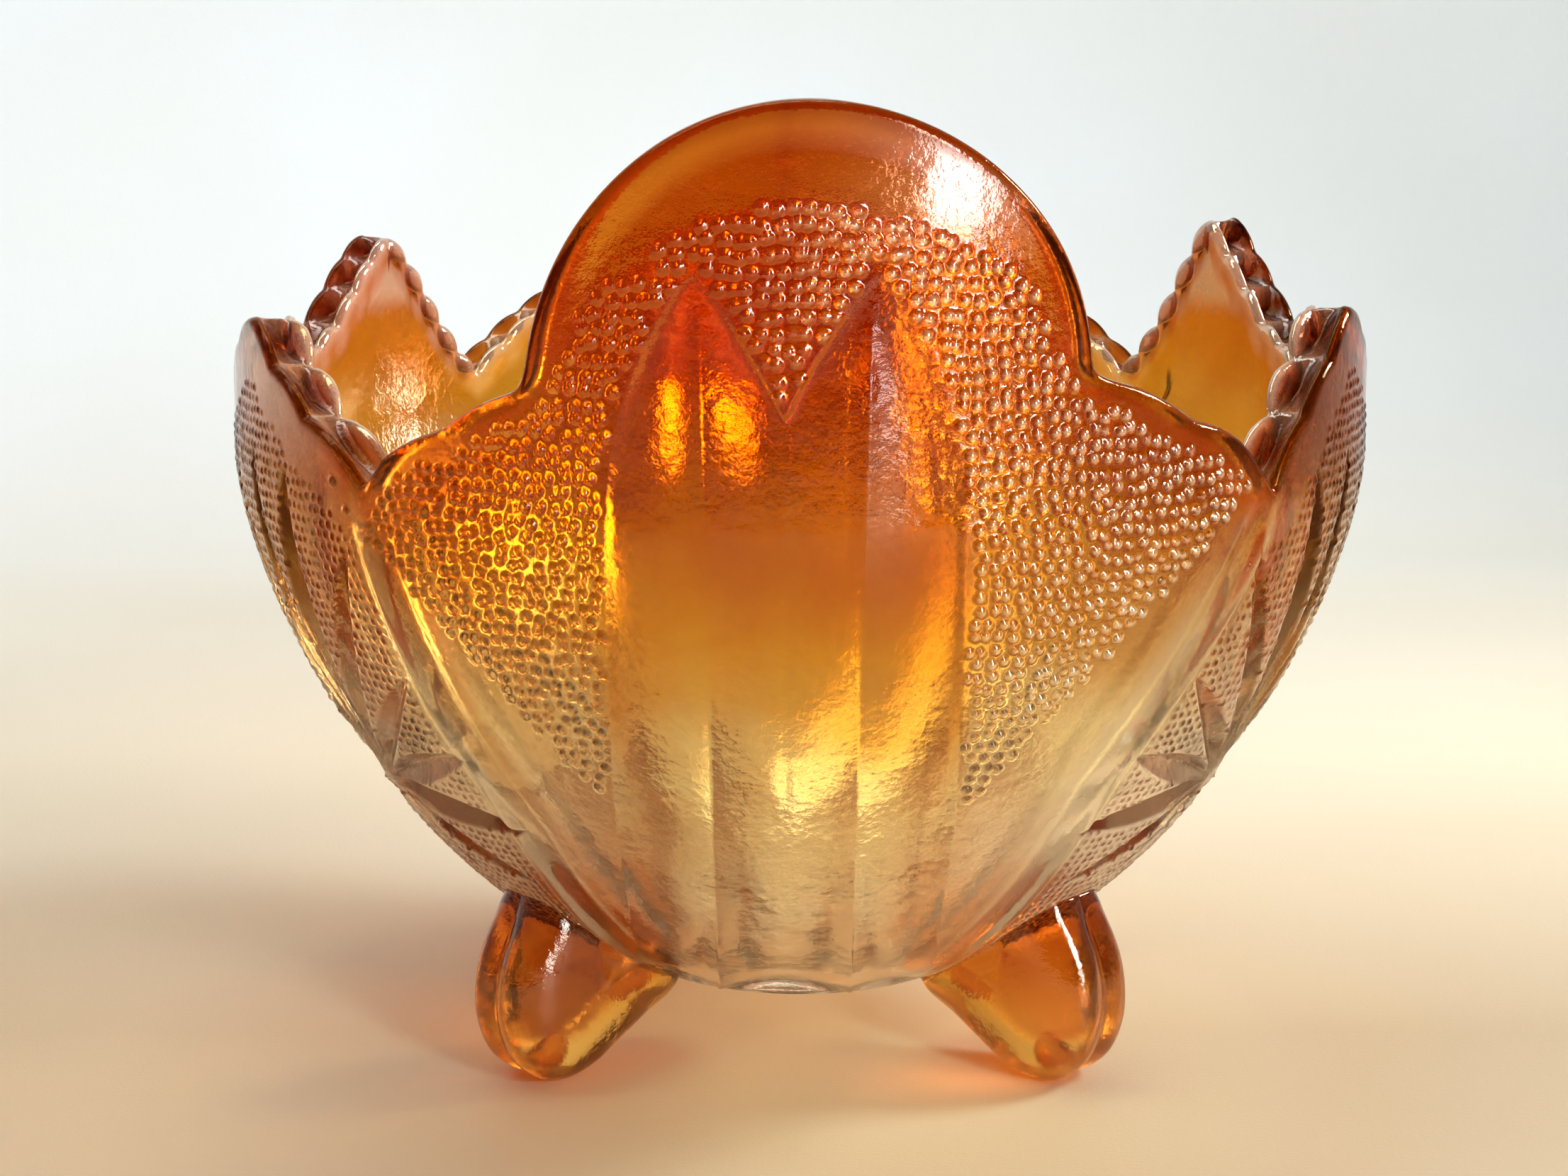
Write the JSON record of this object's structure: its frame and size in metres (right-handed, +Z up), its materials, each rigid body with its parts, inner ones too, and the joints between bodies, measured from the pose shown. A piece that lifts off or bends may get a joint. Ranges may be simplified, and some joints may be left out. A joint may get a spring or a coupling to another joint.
{
  "type": "footed glass bowl",
  "caption": "Footed round bowl of pressed iridescent amber glass, with a tall smooth dome at the front, scalloped pointed lobes round the rest of the rim and solid scroll feet.",
  "frame": {"origin": "on the surface that the feet stand on, on the bowl's vertical axis", "axes": "+Z up along the bowl's axis; the tall dome faces -Y; +X to the right when facing the dome"},
  "size_m": [0.15, 0.15, 0.1279],
  "materials": {
    "glass": "pressed amber glass with an iridescent marigold surface, deep orange above, fading to pale champagne towards the base",
    "foot_glass": "solid amber glass, glossy, with a light iridescent surface"
  },
  "bodies": {
    "root": {"bowl": "glass", "foot_front_left": "foot_glass", "foot_front_right": "foot_glass", "foot_back_left": "foot_glass", "foot_back_right": "foot_glass"}
  },
  "joints": []
}
